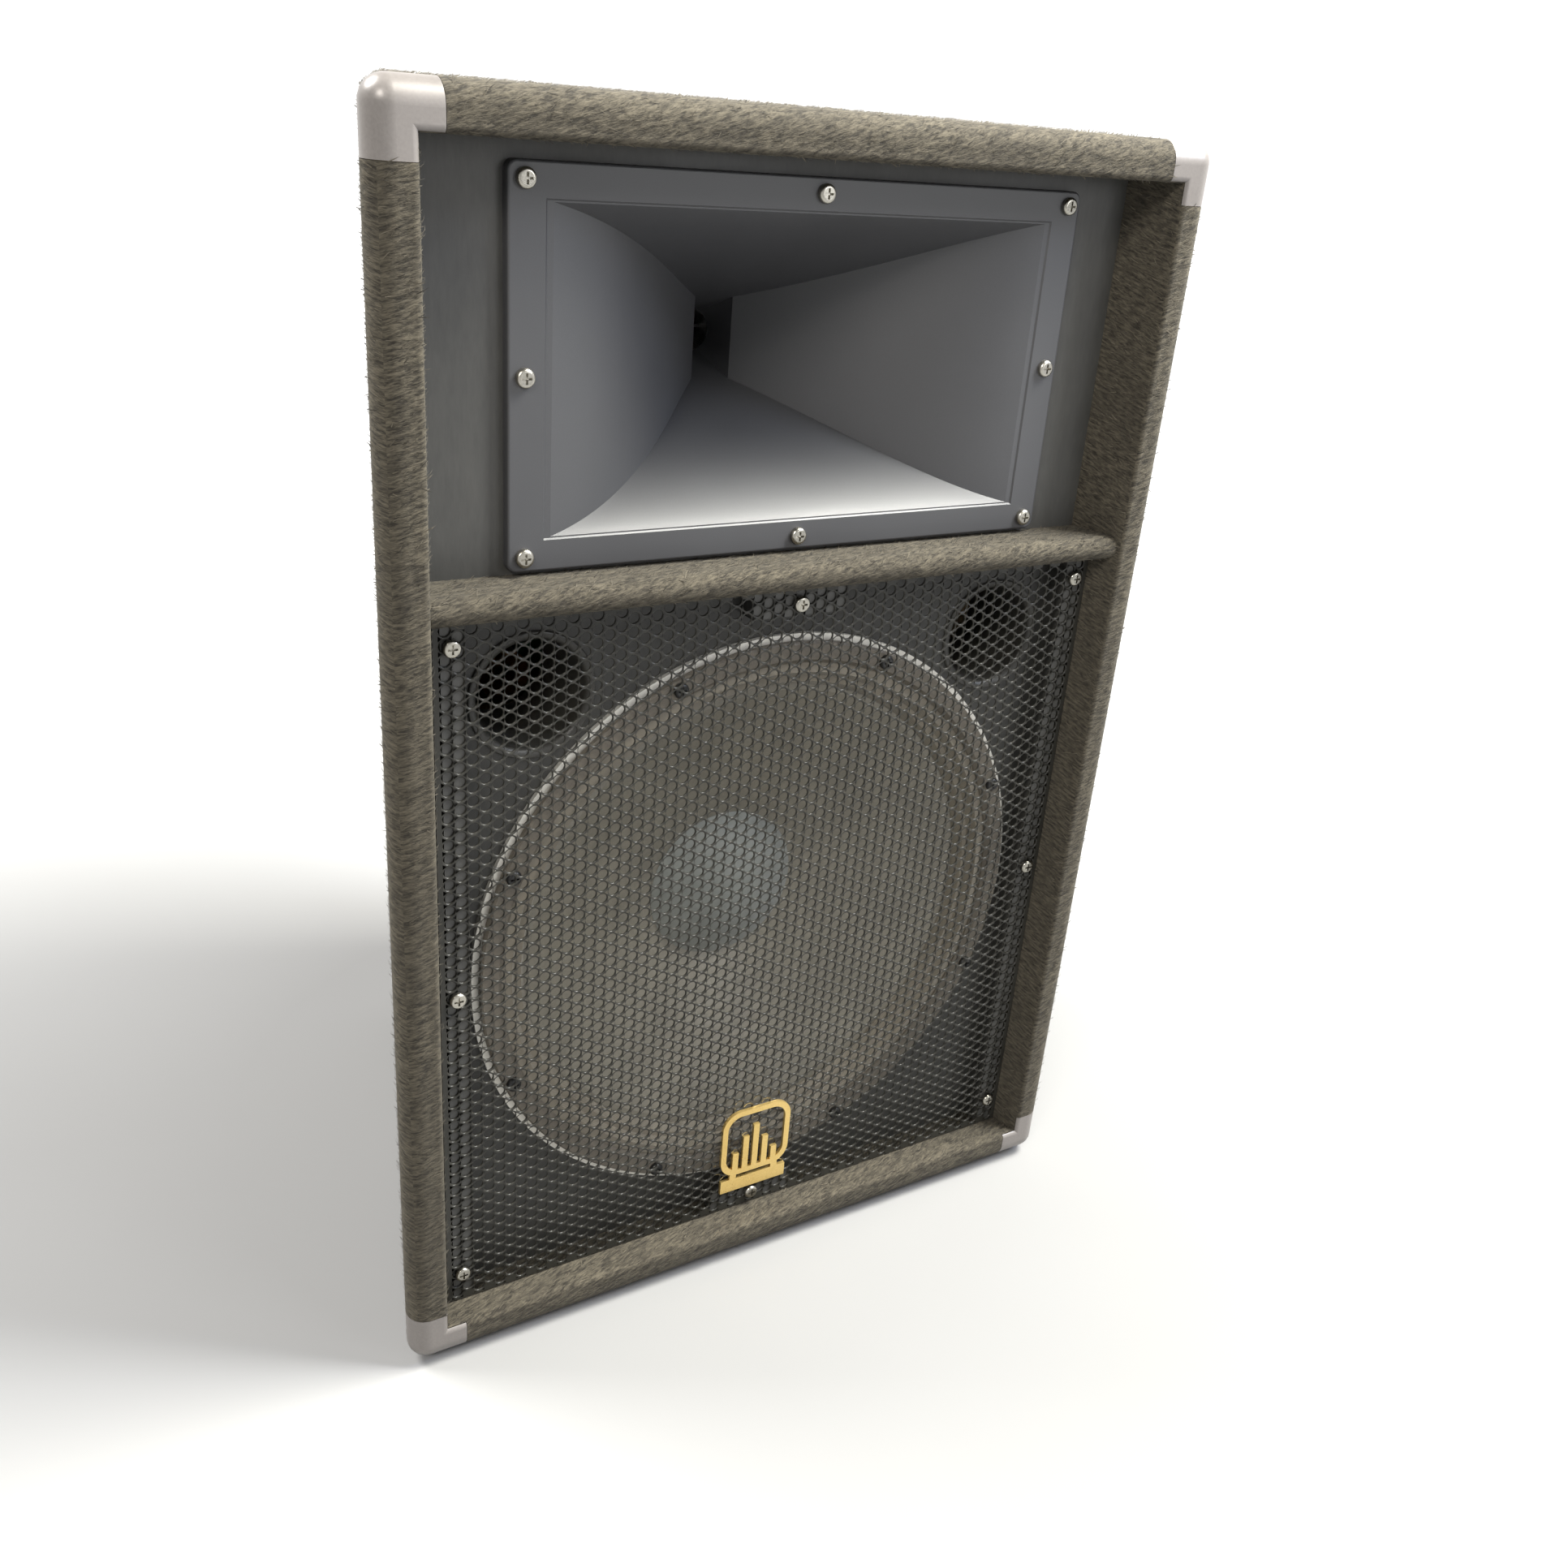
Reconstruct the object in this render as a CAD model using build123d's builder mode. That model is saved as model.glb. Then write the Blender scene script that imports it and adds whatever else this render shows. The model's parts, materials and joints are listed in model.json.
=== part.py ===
"""Two-way 15 inch stage loudspeaker: a carpeted trapezoidal cabinet with a horn above a grilled woofer.

Millimetres. X is to the right and Z up as seen by a listener, who faces the front along +Y.
The origin is on the floor under the middle of the cabinet.
"""
from build123d import *
from math import copysign, cos, radians, sin, tan
import os

os.makedirs("parts", exist_ok=True)

# Cabinet
WIDTH = 485.0  # across the rounded front edges
HEIGHT = 708.0  # without the feet
DEPTH = 400.0
TAPER = 17.0  # degrees that each side wall leans in towards the back
PANEL = 18.0
SIDE_PANEL = 20.5
CARPET = 2.0
EDGE_RADIUS = 12.0
LIP_RADIUS = 3.5  # carpet rolled over the inner front edge
FOOT_HEIGHT = 4.0
RECESS = 36.0  # from the front rim back to the baffle's face
CORNER_LEG = 37.5  # along the floor plan
CORNER_RISE = 33.5  # along the upright edge
CORNER_SHEET = 1.5
CORNER_SCREW = 27.0
FLUSH_HEAD = 3.6
BRACE_DEPTH = 38.0

# Divider between the horn bay and the woofer bay
DIVIDER_Z = 477.4
DIVIDER_CORE = 10.6
DIVIDER_SETBACK = 3.0

# Horn and compression driver
HORN_Z = 584.0
HORN_FLANGE = (342.0, 194.0)
HORN_FLANGE_DEPTH = 6.0
HORN_SCREW_SPAN = (162.3, 89.2)
HORN_WALL = 3.5
HORN_MOUTH_EDGE = 0.8  # bevel between the flange and the flare
HORN_CUTOUT = (304.0, 168.0)
HORN_THROAT_DEPTH = 142.0
HORN_THROAT_RADIUS = 12.7
# (depth behind the flange's face, half width, half height) of the flare
HORN_FLARE = [(0, 151.2, 80.0), (18, 108.0, 67.0), (48, 70.0, 50.5), (80, 40.0, 36.0), (112, 12.5, 23.5)]

# Woofer
WOOFER_Z = 243.0
WOOFER_RADIUS = 192.0
WOOFER_CUTOUT = 177.0
WOOFER_BOLT_RADIUS = 182.5
FRAME_RIM = 4.0  # bare metal of the woofer's frame outside its gasket
DUST_CAP_RADIUS = 52.0
COIL_RADIUS = 32.4

# Ports
PORT_X = 155.0
PORT_Z = 417.0
PORT_RADIUS = 31.0
PORT_WALL = 3.0
PORT_LENGTH = 60.0
PORT_FLANGE = 36.5
PORT_MOUTH = 4.0  # rounding of the inner edge

# Grille
GRILLE_SHEET = 1.2
GRILLE_SETBACK = 20.0
GRILLE_SCREW_X = 204.6
GRILLE_SCREW_Z = (47.5, 247.0, 454.8)
GRILLE_MIDDLE_Z = (36.0, 458.0)
GRILLE_HALF_WIDTH = 214.2
BATTEN_X = 203.4
BATTEN_WIDTH = 13.0
BADGE_Z = 82.0
BADGE_DEPTH = 2.2

# Handles, input plate and pole socket
HANDLE_SETBACK = 238.0
HANDLE_Z = 392.0
HANDLE_FLANGE = (170.0, 116.0)
HANDLE_POCKET = (140.0, 86.0)
HANDLE_POCKET_DEPTH = 42.0
HANDLE_WALL = 2.0
HANDLE_CORNER = 12.0
GRIP_RADIUS = 8.0
GRIP_HEIGHT = 22.0
GRIP_DEPTH = 12.0
PLATE_SIZE = (150.0, 110.0)
PLATE_Z = 200.0
PLATE_CUTOUT = (122.0, 82.0)
PLATE_CORNER = 8.0
POLE_RADIUS = 17.75
POLE_SOCKET_DEPTH = 85.0
POLE_Y = 20.0
SOCKET_RADIUS = 21.25
SOCKET_FLANGE = 2.5
SOCKET_FLANGE_RADIUS = 55.0

FRONT = -DEPTH / 2
BACK = DEPTH / 2
BASE = FOOT_HEIGHT
TOP = BASE + HEIGHT
SKIN = PANEL + CARPET
SIDE_SKIN = SIDE_PANEL + CARPET
BAFFLE_FACE = FRONT + RECESS
LINING = SKIN + CARPET
SIDE_LINING = SIDE_SKIN + CARPET
SLOPE = tan(radians(TAPER))
# Half the width where the front and a side wall would meet if the edge were sharp
SHARP_HALF = WIDTH / 2 + EDGE_RADIUS / tan(radians(90 - TAPER) / 2) - EDGE_RADIUS
CLEARANCE = 0.3
SIDES = [(-1, "left"), (1, "right")]

WOOFER = (0, BAFFLE_FACE, WOOFER_Z)
WOOFER_AXIS = Axis(WOOFER, (0, 1, 0))
HORN_FACE = BAFFLE_FACE - HORN_FLANGE_DEPTH
DRIVER = (0, HORN_FACE + HORN_THROAT_DEPTH, HORN_Z)
DRIVER_AXIS = Axis(DRIVER, (0, 1, 0))


def half_width(y, inset=0.0):
    """Half the cabinet's width at depth y, inside a skin of the given thickness."""
    return SHARP_HALF - (y - FRONT) * SLOPE - inset / cos(radians(TAPER))


def front_plane(y, z=0.0, x=0.0):
    """Plane that faces the listener: local x is right, local y is up."""
    return Plane(origin=(x, y, z), x_dir=(1, 0, 0), z_dir=(0, -1, 0))


def back_plane(y, z=0.0, x=0.0):
    """Plane that faces away from the listener."""
    return Plane(origin=(x, y, z), x_dir=(-1, 0, 0), z_dir=(0, 1, 0))


def side_plane(side, inset=0.0):
    """Plane on a side wall at the handle: local y is up, local z points outwards."""
    y = FRONT + HANDLE_SETBACK
    normal = Vector(side * cos(radians(TAPER)), sin(radians(TAPER)), 0)
    origin = Vector(side * half_width(y), y, HANDLE_Z) - normal * inset
    return Plane(origin=origin, x_dir=(-sin(radians(TAPER)), side * cos(radians(TAPER)), 0), z_dir=normal)


def plan(y0, y1, inset, z):
    """Trapezoid between two depths, inside a skin of the given thickness, drawn at height z."""
    with BuildSketch(Plane.XY.offset(z)) as outline:
        with BuildLine():
            Polyline(
                (-half_width(y0, inset), y0),
                (half_width(y0, inset), y0),
                (half_width(y1, inset), y1),
                (-half_width(y1, inset), y1),
                close=True,
            )
        make_face()
    return outline.sketch


def block(inset, radius):
    """The cabinet's outline, shrunk by inset on every side, with rounded edges."""
    with BuildPart() as outline:
        extrude(plan(FRONT + inset, BACK - inset, inset, BASE + inset), amount=HEIGHT - 2 * inset)
        fillet(outline.edges(), radius)
    return outline.part


def profile(points, centre):
    """Closed outline of (radius, depth) points beside the depth axis through centre."""
    with BuildSketch(Plane(origin=centre)) as outline:
        with BuildLine():
            Polyline(*points, close=True)
        make_face()
    return outline.sketch


def dome_profile(radius, rim, rise, thickness, centre):
    """Outline of a domed cap; rim is the rim's depth, and a positive rise puts the crown to the front."""
    inner_radius = radius - thickness
    inner_rise = rise - copysign(thickness, rise)
    with BuildSketch(Plane(origin=centre)) as outline:
        with BuildLine():
            outer = ThreePointArc((0, rim - rise), (radius / 2, rim - rise * 0.76), (radius, rim))
            inner = ThreePointArc(
                (0, rim - inner_rise), (inner_radius / 2, rim - inner_rise * 0.76), (inner_radius, rim)
            )
            Line(outer @ 1, inner @ 1)
            Line(outer @ 0, inner @ 0)
        make_face()
    return outline.sketch


def wave_profile(inner, outer, depth, drop, flat, waves, height, thickness, centre):
    """Outline of a corrugated ring: an outer flat, then rolls that drop to the inner edge."""
    roll = (outer - flat - inner) / (2 * waves)
    slope = drop / (2 * waves)
    crest = [(inner + i * roll, depth + drop - i * slope - height * (i % 2)) for i in range(2 * waves + 1)]
    front = crest + [(outer, depth)]
    back = [(r, d + thickness) for r, d in reversed(front)]
    return profile(front + back, centre)


def screw(head_radius, head_height, shank_radius, length):
    """Pan head screw with a cross recess: its shank runs down from the origin."""
    with BuildPart() as fastener:
        with BuildSketch(Plane.XY):
            Circle(head_radius)
        extrude(amount=head_height)
        fillet(fastener.faces().sort_by(Axis.Z)[-1].edges(), head_height * 0.55)
        with BuildSketch(Plane.XY.offset(head_height)):
            Rectangle(head_radius * 1.1, head_radius * 0.24)
            Rectangle(head_radius * 0.24, head_radius * 1.1)
        extrude(amount=-head_height * 0.6, mode=Mode.SUBTRACT)
        with BuildSketch(Plane.XY):
            Circle(shank_radius)
        extrude(amount=-length)
    return fastener.part


def finish(piece, name):
    """Label a piece and write its file."""
    piece.part.label = name
    export_step(piece.part, f"parts/{name}.step")


# ---------------------------------------------------------------- cabinet panels

wood = block(CARPET, EDGE_RADIUS - CARPET)

with BuildPart() as top_panel:
    add(wood)
    with BuildSketch(Plane.XY.offset(TOP - SKIN)):
        Rectangle(2 * WIDTH, 2 * DEPTH)
    extrude(amount=SKIN, mode=Mode.INTERSECT)
finish(top_panel, "top_panel")

with BuildPart() as bottom_panel:
    add(wood)
    with BuildSketch(Plane.XY.offset(BASE)):
        Rectangle(2 * WIDTH, 2 * DEPTH)
    extrude(amount=SKIN, mode=Mode.INTERSECT)
    with Locations((0, POLE_Y, BASE + SKIN)):
        Hole(SOCKET_RADIUS + CLEARANCE)
finish(bottom_panel, "bottom_panel")


def side_panel(side):
    """Side wall between the top and bottom panels, with the handle's opening."""
    with BuildPart() as panel:
        add(wood)
        with BuildSketch(Plane.XY.offset(BASE + SKIN)):
            with BuildLine():
                Polyline(
                    (side * half_width(FRONT, SIDE_SKIN), FRONT),
                    (side * WIDTH, FRONT),
                    (side * WIDTH, BACK),
                    (side * half_width(BACK, SIDE_SKIN), BACK),
                    close=True,
                )
            make_face()
        extrude(amount=HEIGHT - 2 * SKIN, mode=Mode.INTERSECT)
        with BuildSketch(side_plane(side)):
            Rectangle(HANDLE_POCKET[0] + 5, HANDLE_POCKET[1] + 5)
        extrude(amount=-2 * SIDE_SKIN, mode=Mode.SUBTRACT)
    return panel


for side, name in SIDES:
    finish(side_panel(side), f"{name}_side_panel")

with BuildPart() as back_panel:
    extrude(plan(BACK - SKIN, BACK - CARPET, SIDE_SKIN, BASE + SKIN), amount=HEIGHT - 2 * SKIN)
    with BuildSketch(back_plane(BACK - CARPET, PLATE_Z)):
        Rectangle(*PLATE_CUTOUT)
    extrude(amount=-PANEL, mode=Mode.SUBTRACT)
finish(back_panel, "back_panel")

with BuildPart() as baffle:
    extrude(plan(BAFFLE_FACE, BAFFLE_FACE + PANEL, SIDE_SKIN, BASE + SKIN), amount=HEIGHT - 2 * SKIN)
    with BuildSketch(front_plane(BAFFLE_FACE)):
        with Locations((0, WOOFER_Z)):
            Circle(WOOFER_CUTOUT)
        with Locations((0, HORN_Z)):
            Rectangle(*HORN_CUTOUT)
        with Locations((-PORT_X, PORT_Z), (PORT_X, PORT_Z)):
            Circle(PORT_RADIUS + PORT_WALL + CLEARANCE)
    extrude(amount=-PANEL, mode=Mode.SUBTRACT)
finish(baffle, "baffle")

with BuildPart() as internal_brace:
    brace_front = BAFFLE_FACE + PANEL
    brace = plan(brace_front, brace_front + BRACE_DEPTH, SIDE_SKIN, DIVIDER_Z - PANEL / 2)
    extrude(brace, amount=PANEL)
finish(internal_brace, "internal_brace")

# ---------------------------------------------------------------- divider and carpet


def divider_shape(setback, height, nose):
    """Bar across the recess with a rounded nose, its ends cut to the side walls' slope."""
    with BuildPart() as bar:
        ends = plan(FRONT + setback, BAFFLE_FACE, SIDE_LINING, DIVIDER_Z - height / 2)
        extrude(ends, amount=height)
        fillet(bar.faces().sort_by(Axis.Y)[0].edges().filter_by(Axis.X), nose)
    return bar.part


divider_core = divider_shape(DIVIDER_SETBACK + CARPET, DIVIDER_CORE, 5.0)

with BuildPart() as divider_bar:
    add(divider_core)
finish(divider_bar, "divider_bar")

with BuildPart() as carpet_divider:
    add(divider_shape(DIVIDER_SETBACK, DIVIDER_CORE + 2 * CARPET, 7.0))
    add(divider_core, mode=Mode.SUBTRACT)
finish(carpet_divider, "carpet_divider")

# The cabinet's outer surface, with the lined recess open at the front
with BuildPart() as envelope:
    add(block(0, EDGE_RADIUS))
    opening = plan(FRONT - 1, BAFFLE_FACE, SIDE_LINING, BASE + LINING)
    extrude(opening, amount=HEIGHT - 2 * LINING, mode=Mode.SUBTRACT)
    inside_x = WIDTH / 2 - EDGE_RADIUS - 1
    lip = envelope.edges().filter_by_position(Axis.Y, FRONT - 0.1, FRONT + 0.1)
    lip = lip.filter_by_position(Axis.X, -inside_x, inside_x)
    lip = lip.filter_by_position(Axis.Z, BASE + EDGE_RADIUS + 1, TOP - EDGE_RADIUS - 1)
    fillet(lip, LIP_RADIUS)

# The panels and everything behind them, as one mass
with BuildPart() as backing:
    add(wood)
    opening = plan(FRONT - 1, BAFFLE_FACE, SIDE_SKIN, BASE + SKIN)
    extrude(opening, amount=HEIGHT - 2 * SKIN, mode=Mode.SUBTRACT)


def corner_zone(side, end, level, gap=0.0):
    """Box at one of the cabinet's eight corners; end is -1 at the front, level is -1 at the bottom."""
    leg, rise = CORNER_LEG + gap, CORNER_RISE + gap
    y0 = FRONT if end < 0 else BACK
    x0 = side * half_width(y0)
    z0 = BASE if level < 0 else TOP
    with BuildPart() as zone:
        with Locations((x0, y0, z0)):
            Box(2 * leg, 2 * leg, 2 * rise)
    return zone.part


CORNERS = [(side, end, level) for side in (-1, 1) for end in (-1, 1) for level in (-1, 1)]

with BuildPart() as corner_gaps:
    add(envelope.part)
    add(wood, mode=Mode.SUBTRACT)
    add([corner_zone(*corner, gap=CLEARANCE) for corner in CORNERS], mode=Mode.INTERSECT)

with BuildPart() as carpet:
    add(envelope.part)
    add(backing.part, mode=Mode.SUBTRACT)
    add(corner_gaps.part, mode=Mode.SUBTRACT)
    for side, name in SIDES:
        with BuildSketch(side_plane(side, CARPET)):
            RectangleRounded(HANDLE_FLANGE[0] + CLEARANCE, HANDLE_FLANGE[1] + CLEARANCE, HANDLE_CORNER)
        extrude(amount=CARPET + 1, mode=Mode.SUBTRACT)
    with Locations((0, POLE_Y, BASE)):
        Cylinder(SOCKET_RADIUS + CLEARANCE, 4 * CARPET, mode=Mode.SUBTRACT)
    with BuildSketch(back_plane(BACK - CARPET, PLATE_Z)):
        RectangleRounded(PLATE_SIZE[0] + CLEARANCE, PLATE_SIZE[1] + CLEARANCE, PLATE_CORNER)
    extrude(amount=CARPET, mode=Mode.SUBTRACT)

seam_x = half_width(BACK) - EDGE_RADIUS - 4
seam_z = HEIGHT / 2 - EDGE_RADIUS - 4

with BuildPart() as carpet_wrap:
    add(carpet.part)
    with BuildSketch(back_plane(BACK - CARPET, BASE + HEIGHT / 2)):
        Rectangle(2 * seam_x, 2 * seam_z)
    extrude(amount=CARPET, mode=Mode.SUBTRACT)
finish(carpet_wrap, "carpet_wrap")

with BuildPart() as carpet_back:
    add(carpet.part)
    with BuildSketch(back_plane(BACK - CARPET, BASE + HEIGHT / 2)):
        Rectangle(2 * seam_x, 2 * seam_z)
    extrude(amount=CARPET, mode=Mode.INTERSECT)
finish(carpet_back, "carpet_back")

# ---------------------------------------------------------------- corner protectors


def corner_screw_planes(side, end, level):
    """The two screws of a corner: one in its top or bottom face and one in its side face."""
    y = (FRONT if end < 0 else BACK) - end * CORNER_SCREW
    x = side * (half_width(y) - CORNER_SCREW)
    z = BASE if level < 0 else TOP
    normal = Vector(side * cos(radians(TAPER)), sin(radians(TAPER)), 0)
    flat = Plane(origin=(x, y, z - level * CORNER_SHEET), z_dir=(0, 0, level))
    wall = Vector(side * half_width(y), y, z - level * CORNER_SCREW) - normal * CORNER_SHEET
    return [flat, Plane(origin=wall, z_dir=normal)]


corner_shell = envelope.part - block(CORNER_SHEET, EDGE_RADIUS - CORNER_SHEET)

for corner in CORNERS:
    side, end, level = corner
    with BuildPart() as protector:
        add(corner_shell)
        add(corner_zone(*corner), mode=Mode.INTERSECT)
        with Locations(*corner_screw_planes(*corner)):
            Cylinder(FLUSH_HEAD + CLEARANCE, 4 * CORNER_SHEET, mode=Mode.SUBTRACT)
    place = ["front" if end < 0 else "rear", "bottom" if level < 0 else "top"]
    finish(protector, "_".join(["corner", *place, "left" if side < 0 else "right"]))

flush_screw = screw(FLUSH_HEAD, 1.4, 1.9, 15)

with BuildPart() as corner_screws:
    with Locations(*[plane for corner in CORNERS for plane in corner_screw_planes(*corner)]):
        add(flush_screw)
finish(corner_screws, "corner_screws")

# ---------------------------------------------------------------- feet and pole socket

FOOT_PLACES = [(-180, -150), (180, -150), (-96, 155), (96, 155)]
SOCKET_SCREWS = [(0, POLE_Y - 43), (0, POLE_Y + 43), (-43, POLE_Y), (43, POLE_Y)]
FOOT_SEAT = 2.4
SOCKET_SEAT = 3.0

with BuildPart() as feet:
    with BuildSketch(Plane.XY):
        with Locations(*FOOT_PLACES):
            Circle(16)
    extrude(amount=FOOT_HEIGHT)
    with BuildSketch(Plane.XY):
        with Locations(*FOOT_PLACES):
            Circle(FLUSH_HEAD + 1)
    extrude(amount=FOOT_SEAT, mode=Mode.SUBTRACT)
    with BuildSketch(Plane.XY):
        with Locations(*FOOT_PLACES):
            Circle(2.1)
    extrude(amount=FOOT_HEIGHT, mode=Mode.SUBTRACT)
finish(feet, "feet")

with BuildPart() as pole_socket:
    socket_mouth = BASE - SOCKET_FLANGE
    with BuildSketch(Plane.XY.offset(socket_mouth)):
        with Locations((0, POLE_Y)):
            Circle(SOCKET_FLANGE_RADIUS)
    extrude(amount=SOCKET_FLANGE)
    with BuildSketch(Plane.XY.offset(socket_mouth)):
        with Locations((0, POLE_Y)):
            Circle(SOCKET_RADIUS)
    extrude(amount=POLE_SOCKET_DEPTH + 3)
    with BuildSketch(Plane.XY.offset(socket_mouth)):
        with Locations((0, POLE_Y)):
            Circle(POLE_RADIUS)
    extrude(amount=POLE_SOCKET_DEPTH, mode=Mode.SUBTRACT)
    with BuildSketch(Plane.XY.offset(socket_mouth)):
        with Locations(*SOCKET_SCREWS):
            Circle(FLUSH_HEAD + CLEARANCE)
    extrude(amount=SOCKET_SEAT - socket_mouth, mode=Mode.SUBTRACT)
    with BuildSketch(Plane.XY.offset(socket_mouth)):
        with Locations(*SOCKET_SCREWS):
            Circle(2.1)
    extrude(amount=SOCKET_FLANGE, mode=Mode.SUBTRACT)
finish(pole_socket, "pole_socket")

with BuildPart() as bottom_screws:
    seats = [(x, y, FOOT_SEAT) for x, y in FOOT_PLACES] + [(x, y, SOCKET_SEAT) for x, y in SOCKET_SCREWS]
    with Locations(*[Plane(origin=seat, z_dir=(0, 0, -1)) for seat in seats]):
        add(flush_screw)
finish(bottom_screws, "bottom_screws")

# ---------------------------------------------------------------- side handles

HANDLE_SCREWS = [(x, z) for x in (-78, 78) for z in (-51, 51)]


def handle(side):
    """Flush pocket with a grip bar along its upper half."""
    wall = side_plane(side, CARPET)
    bar_start = wall.from_local_coords((-HANDLE_POCKET[0] / 2 + 1, GRIP_HEIGHT, -GRIP_DEPTH))
    with BuildPart() as piece:
        with BuildSketch(wall):
            RectangleRounded(*HANDLE_FLANGE, HANDLE_CORNER)
        extrude(amount=CARPET)
        with BuildSketch(wall):
            RectangleRounded(*HANDLE_POCKET, HANDLE_CORNER)
        extrude(amount=-HANDLE_POCKET_DEPTH)
        with BuildSketch(wall.offset(CARPET)):
            hollow = [size - 2 * HANDLE_WALL for size in HANDLE_POCKET]
            RectangleRounded(*hollow, HANDLE_CORNER - HANDLE_WALL)
        extrude(amount=-(CARPET + HANDLE_POCKET_DEPTH - HANDLE_WALL), mode=Mode.SUBTRACT)
        with BuildSketch(Plane(origin=bar_start, z_dir=wall.x_dir)):
            Circle(GRIP_RADIUS)
        extrude(amount=HANDLE_POCKET[0] - 2)
        with BuildSketch(wall):
            with Locations(*HANDLE_SCREWS):
                Circle(2.4)
        extrude(amount=CARPET, mode=Mode.SUBTRACT)
    return piece


for side, name in SIDES:
    finish(handle(side), f"handle_{name}")

with BuildPart() as handle_screws:
    pan_screw = screw(4.2, 2.4, 2.0, 17)
    for side, name in SIDES:
        outside = side_plane(side)
        seats = [outside.from_local_coords((x, z, 0)) for x, z in HANDLE_SCREWS]
        with Locations(*[Plane(origin=seat, z_dir=outside.z_dir) for seat in seats]):
            add(pan_screw)
finish(handle_screws, "handle_screws")

# ---------------------------------------------------------------- input plate, sockets and crossover

SOCKETS = [(-34, 20), (34, 20)]
JACKS = [(-34, -24), (34, -24)]
PLATE_SCREWS = [(x, z) for x in (-68, 68) for z in (-48, 48)]
PLATE_SEAT = 1.4
SOCKET_BODY = 14.8
SOCKET_CAVITY = 11.5
JACK_BUSH = 6.0
JACK_RADIUS = 3.25
JACK_DEPTH = 22.0

with BuildPart() as input_plate:
    with BuildSketch(back_plane(BACK - CARPET, PLATE_Z)):
        RectangleRounded(*PLATE_SIZE, PLATE_CORNER)
        with Locations(*SOCKETS):
            Circle(SOCKET_BODY + CLEARANCE, mode=Mode.SUBTRACT)
        with Locations(*JACKS):
            Circle(JACK_BUSH + 0.2, mode=Mode.SUBTRACT)
        with Locations(*PLATE_SCREWS):
            Circle(2.2, mode=Mode.SUBTRACT)
    extrude(amount=CARPET)
    with BuildSketch(back_plane(BACK, PLATE_Z)):
        with Locations(*PLATE_SCREWS):
            Circle(FLUSH_HEAD + CLEARANCE)
    extrude(amount=-PLATE_SEAT - 0.1, mode=Mode.SUBTRACT)
finish(input_plate, "input_plate")

with BuildPart() as speaker_sockets:
    with BuildSketch(back_plane(BACK - CLEARANCE, PLATE_Z)):
        with Locations(*SOCKETS):
            Circle(SOCKET_BODY)
    extrude(amount=-26)
    with BuildSketch(back_plane(BACK - CLEARANCE, PLATE_Z)):
        with Locations(*SOCKETS):
            Circle(SOCKET_CAVITY)
    extrude(amount=-18, mode=Mode.SUBTRACT)
finish(speaker_sockets, "speaker_sockets")

with BuildPart() as phone_jacks:
    with BuildSketch(back_plane(BACK - CLEARANCE, PLATE_Z)):
        with Locations(*JACKS):
            Circle(JACK_BUSH)
    extrude(amount=-CARPET)
    with BuildSketch(back_plane(BACK - CARPET, PLATE_Z)):
        with Locations(*JACKS):
            Rectangle(16, 16)
    extrude(amount=-25)
    with BuildSketch(back_plane(BACK - CLEARANCE, PLATE_Z)):
        with Locations(*JACKS):
            Circle(JACK_RADIUS)
    extrude(amount=-JACK_DEPTH, mode=Mode.SUBTRACT)
finish(phone_jacks, "phone_jacks")

with BuildPart() as input_plate_screws:
    with Locations(*[back_plane(BACK - PLATE_SEAT - 0.1, PLATE_Z + z, x) for x, z in PLATE_SCREWS]):
        add(flush_screw)
finish(input_plate_screws, "input_plate_screws")

BOARD_Z = 320.0
BOARD_STANDOFF = 8.0
BOARD_SHEET = 1.6
BOARD_BACK = BACK - SKIN - BOARD_STANDOFF
BOARD_FACE = BOARD_BACK - BOARD_SHEET

with BuildPart() as crossover_board:
    with BuildSketch(front_plane(BOARD_BACK, BOARD_Z)):
        Rectangle(150, 100)
    extrude(amount=BOARD_SHEET)
    with BuildSketch(front_plane(BOARD_BACK, BOARD_Z)):
        with GridLocations(136, 86, 2, 2):
            Circle(3)
    extrude(amount=-BOARD_STANDOFF)
finish(crossover_board, "crossover_board")

with BuildPart() as crossover_parts:
    with BuildSketch(front_plane(BOARD_FACE, BOARD_Z)):
        with Locations((-48, -22), (0, 26)):
            Circle(20)
            Circle(9, mode=Mode.SUBTRACT)
    extrude(amount=15)
    for x, z in ((6, -34), (50, -36), (46, 34)):
        with Locations((x, BOARD_FACE - 8, BOARD_Z + z)):
            Cylinder(8, 32, rotation=(0, 90, 0))
finish(crossover_parts, "crossover_parts")

with BuildPart() as damping_lining:
    with BuildSketch(front_plane(BACK - SKIN, 530)):
        Rectangle(190, 270)
    extrude(amount=15)
finish(damping_lining, "damping_lining")

# ---------------------------------------------------------------- woofer

with BuildPart() as woofer_basket:
    bowl = [
        (WOOFER_RADIUS, -3), (WOOFER_RADIUS, 0), (175.5, 0), (168, 14), (98.5, 69), (86, 69), (86, 87),
        (47, 87), (47, 84), (83, 84), (83, 66), (96.5, 66), (165, 11.7), (171.5, -3),
    ]
    revolve(profile(bowl, WOOFER), axis=WOOFER_AXIS)
    with BuildSketch(front_plane(BAFFLE_FACE, WOOFER_Z)):
        with PolarLocations(132, 8):
            Circle(30)
    extrude(amount=-80, mode=Mode.SUBTRACT)
    with BuildSketch(front_plane(BAFFLE_FACE, WOOFER_Z)):
        with PolarLocations(WOOFER_BOLT_RADIUS, 8, start_angle=22.5):
            Circle(2.8)
    extrude(amount=3, mode=Mode.SUBTRACT)
finish(woofer_basket, "woofer_basket")

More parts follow.
